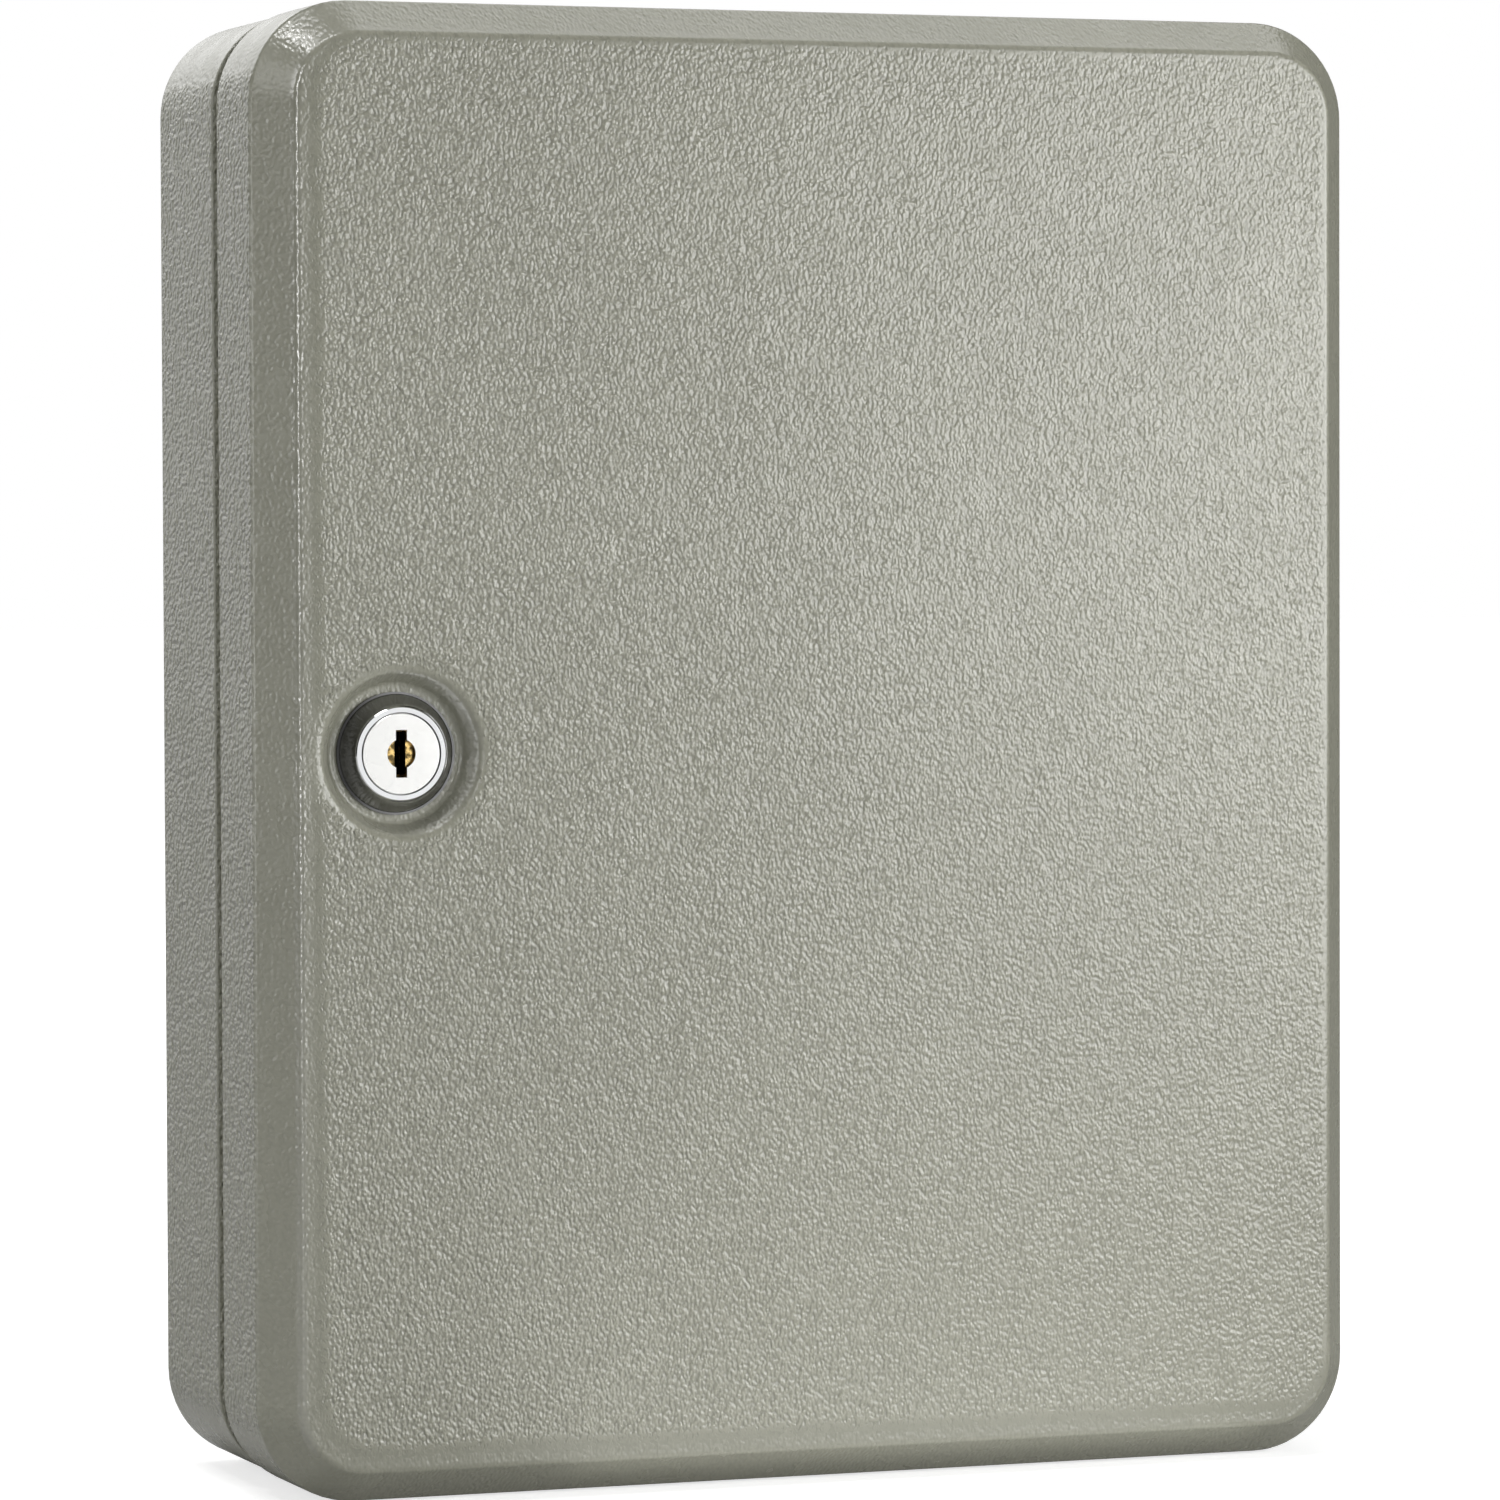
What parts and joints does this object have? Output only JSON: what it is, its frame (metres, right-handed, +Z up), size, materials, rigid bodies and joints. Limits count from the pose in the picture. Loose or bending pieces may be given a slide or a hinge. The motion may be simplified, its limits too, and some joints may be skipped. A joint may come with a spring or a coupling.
{
  "type": "key cabinet",
  "caption": "Wall-mounted steel key cabinet with a bevelled hinged door, a cam lock in a round dish, and hook rails on slotted standards inside.",
  "frame": {"origin": "centre of the back face, in the wall plane, and of the four wall holes", "axes": "+X right seen from the front, +Y into the wall, +Z up"},
  "size_m": [0.2399, 0.08, 0.3],
  "materials": {
    "powder_coat": "pebbled grey-beige powder coat, semi-matt",
    "rail_paint": "smooth grey-beige powder coat, satin",
    "zinc_plate": "bright zinc plate on steel",
    "die_cast": "zinc die casting, nickel washed",
    "chrome": "bright chrome plate",
    "plug_metal": "satin nickel face, brass showing in the key guide",
    "brass": "stamped brass",
    "spring_steel": "drawn spring wire",
    "card": "printed white plastic strip"
  },
  "bodies": {
    "cabinet": {"body_shell": "powder_coat", "front_frame": "powder_coat", "hinge_leaf_body": "zinc_plate", "hinge_pin": "zinc_plate", "rail_standard_left": "powder_coat", "rail_standard_right": "powder_coat"},
    "door": {"door_shell": "powder_coat", "hinge_leaf_door": "zinc_plate", "lock_housing": "die_cast", "lock_bezel": "chrome", "lock_nut": "zinc_plate"},
    "lock_cylinder": {"lock_plug": "plug_metal", "cam_stop_washer": "zinc_plate", "lock_cam": "zinc_plate", "spring_washer": "spring_steel", "cam_screw": "zinc_plate", "wafer_springs_upper": "spring_steel", "wafer_springs_lower": "spring_steel"},
    "wafers_up": {"wafers_upper": "brass"},
    "wafers_down": {"wafers_lower": "brass"},
    "rail_1": {"key_rail_1": "rail_paint", "number_strip_1": "card"},
    "rail_2": {"key_rail_2": "rail_paint", "number_strip_2": "card"},
    "rail_3": {"key_rail_3": "rail_paint", "number_strip_3": "card"},
    "rail_4": {"key_rail_4": "rail_paint", "number_strip_4": "card"},
    "rail_5": {"key_rail_5": "rail_paint", "number_strip_5": "card"},
    "rail_6": {"key_rail_6": "rail_paint", "number_strip_6": "card"}
  },
  "joints": [
    {"name": "door_hinge", "type": "hinge", "parent": "cabinet", "child": "door", "pos_m": [0.11865, -0.044, 0], "axis": [0, 0, 1], "range_deg": [0, 130]},
    {"name": "lock_turn", "type": "hinge", "parent": "door", "child": "lock_cylinder", "pos_m": [-0.0908, -0.065, 0], "axis": [0, 1, 0], "range_deg": [0, 90]},
    {"name": "wafers_up_slide", "type": "slide", "parent": "lock_cylinder", "child": "wafers_up", "axis": [0, 0, 1], "range_m": [0, 0.0006], "deforming": ["wafer_springs_upper"]},
    {"name": "wafers_down_slide", "type": "slide", "parent": "lock_cylinder", "child": "wafers_down", "axis": [0, 0, -1], "range_m": [0, 0.0006], "deforming": ["wafer_springs_lower"]},
    {"name": "rail_1_lift", "type": "slide", "parent": "cabinet", "child": "rail_1", "axis": [0, 0, 1], "range_m": [0, 0.004]},
    {"name": "rail_2_lift", "type": "slide", "parent": "cabinet", "child": "rail_2", "axis": [0, 0, 1], "range_m": [0, 0.004]},
    {"name": "rail_3_lift", "type": "slide", "parent": "cabinet", "child": "rail_3", "axis": [0, 0, 1], "range_m": [0, 0.004]},
    {"name": "rail_4_lift", "type": "slide", "parent": "cabinet", "child": "rail_4", "axis": [0, 0, 1], "range_m": [0, 0.004]},
    {"name": "rail_5_lift", "type": "slide", "parent": "cabinet", "child": "rail_5", "axis": [0, 0, 1], "range_m": [0, 0.004]},
    {"name": "rail_6_lift", "type": "slide", "parent": "cabinet", "child": "rail_6", "axis": [0, 0, 1], "range_m": [0, 0.004]}
  ]
}
